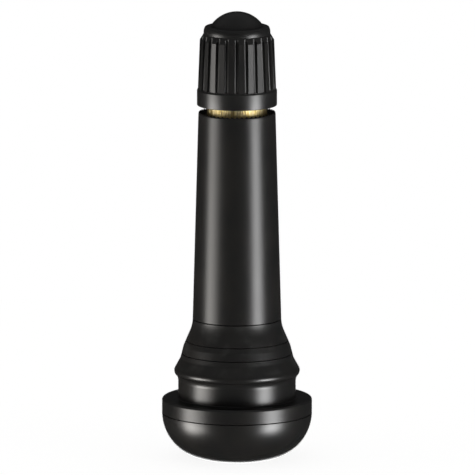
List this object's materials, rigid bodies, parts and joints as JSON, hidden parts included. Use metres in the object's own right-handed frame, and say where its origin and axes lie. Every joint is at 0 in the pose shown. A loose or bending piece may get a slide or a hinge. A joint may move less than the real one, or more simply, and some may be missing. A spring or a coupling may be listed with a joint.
{
  "type": "snap-in tyre valve",
  "caption": "Snap-in rubber tyre valve: tapered rubber body with a bead, neck and rounded foot on a brass stem, spring valve core inside, grooved black screw cap.",
  "frame": {"origin": "centre of the flat under the foot, on the valve's axis", "axes": "+Z along the valve's axis from the foot to the dust cap; -Y towards the viewer of the picture"},
  "size_m": [0.0196, 0.0196, 0.0588],
  "materials": {
    "body_rubber": "moulded, satin",
    "brass": "turned",
    "cap_plastic": "moulded, satin",
    "seal_rubber": "matt",
    "gasket_red": "matt",
    "spring_steel": "bright wire"
  },
  "bodies": {
    "valve": {"rubber_body": "body_rubber", "valve_stem": "brass", "core_plug": "brass", "core_barrel": "brass", "barrel_gasket": "gasket_red", "core_spring": "spring_steel"},
    "pin": {"core_pin": "brass", "core_cup": "brass", "cup_gasket": "seal_rubber"},
    "seal": {"cap_seal": "seal_rubber"},
    "cap": {"dust_cap": "cap_plastic"}
  },
  "joints": [
    {"name": "pin_press", "type": "slide", "parent": "valve", "child": "pin", "axis": [0, 0, -1], "range_m": [0, 0.0015], "stiffness_N_per_m": 300, "deforming": ["core_spring"]},
    {"name": "cap_lift", "type": "slide", "parent": "valve", "child": "seal", "axis": [0, 0, 1], "range_m": [0, 0.00953]},
    {"name": "cap_turn", "type": "hinge", "parent": "seal", "child": "cap", "pos_m": [0, 0, 0.0465], "axis": [0, 0, 1], "range_deg": [0, 4320]}
  ],
  "couplings": [
    {"joint": "cap_turn", "follows": "cap_lift", "rad_per_m": 7915.8}
  ]
}
